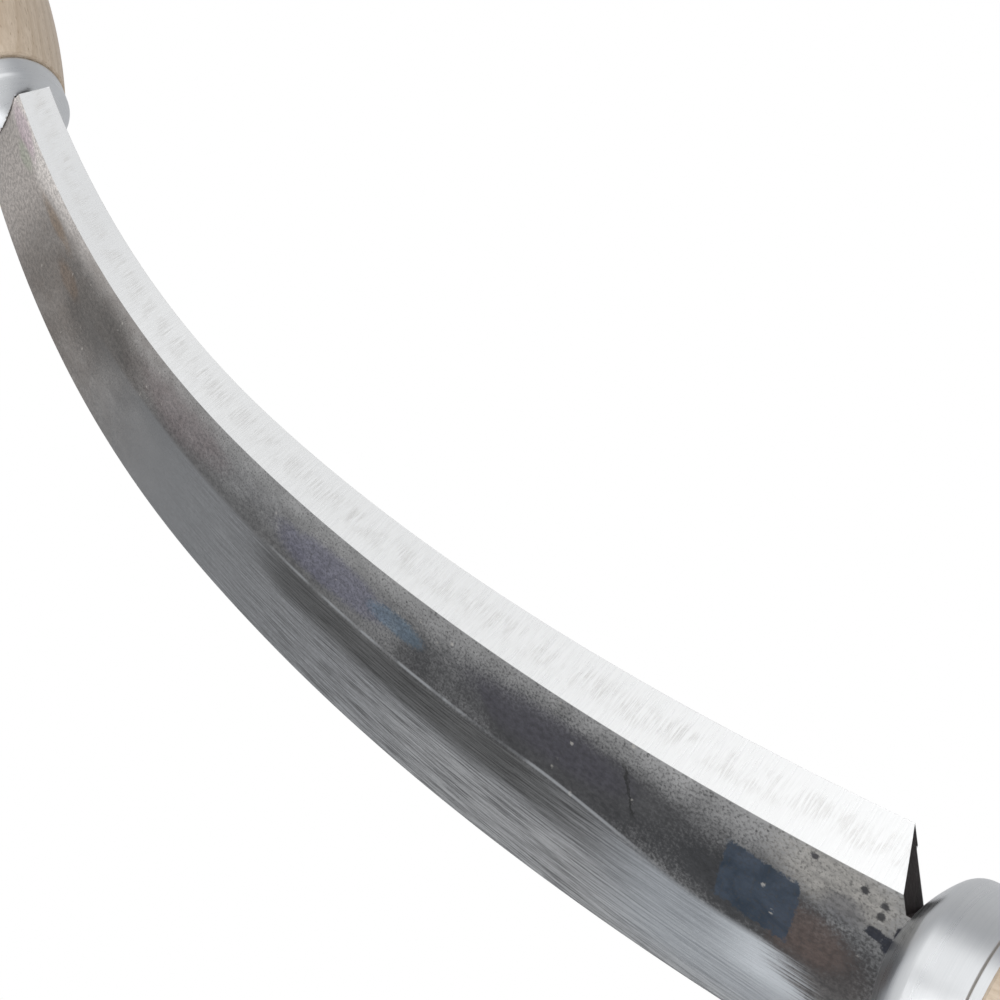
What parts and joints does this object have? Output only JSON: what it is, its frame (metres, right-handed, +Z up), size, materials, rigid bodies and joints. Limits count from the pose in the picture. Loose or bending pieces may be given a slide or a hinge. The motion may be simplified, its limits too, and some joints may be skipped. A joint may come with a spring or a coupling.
{
  "type": "drawknife",
  "caption": "Curved drawknife: forged arc blade bevelled on its concave side, domed steel ferrules, turned wooden handles riveted on through tangs.",
  "frame": {"origin": "on the blade's flat underside, in the middle of its length and halfway between edge and spine", "axes": "+X towards the right-hand handle, +Y towards the concave cutting edge, +Z up through the bevelled face"},
  "size_m": [0.4525, 0.0887, 0.03],
  "materials": {
    "blade_steel": "forge scale, dark grey and mottled, with a bright ground bevel",
    "ferrule_steel": "satin polished",
    "handle_wood": "turned, oiled, pale straight grain",
    "washer_steel": "filed flat, dull"
  },
  "bodies": {
    "root": {"blade": "blade_steel", "ferrule_left": "ferrule_steel", "ferrule_right": "ferrule_steel", "handle_left": "handle_wood", "handle_right": "handle_wood", "tang_washer_left": "washer_steel", "tang_washer_right": "washer_steel"}
  },
  "joints": []
}
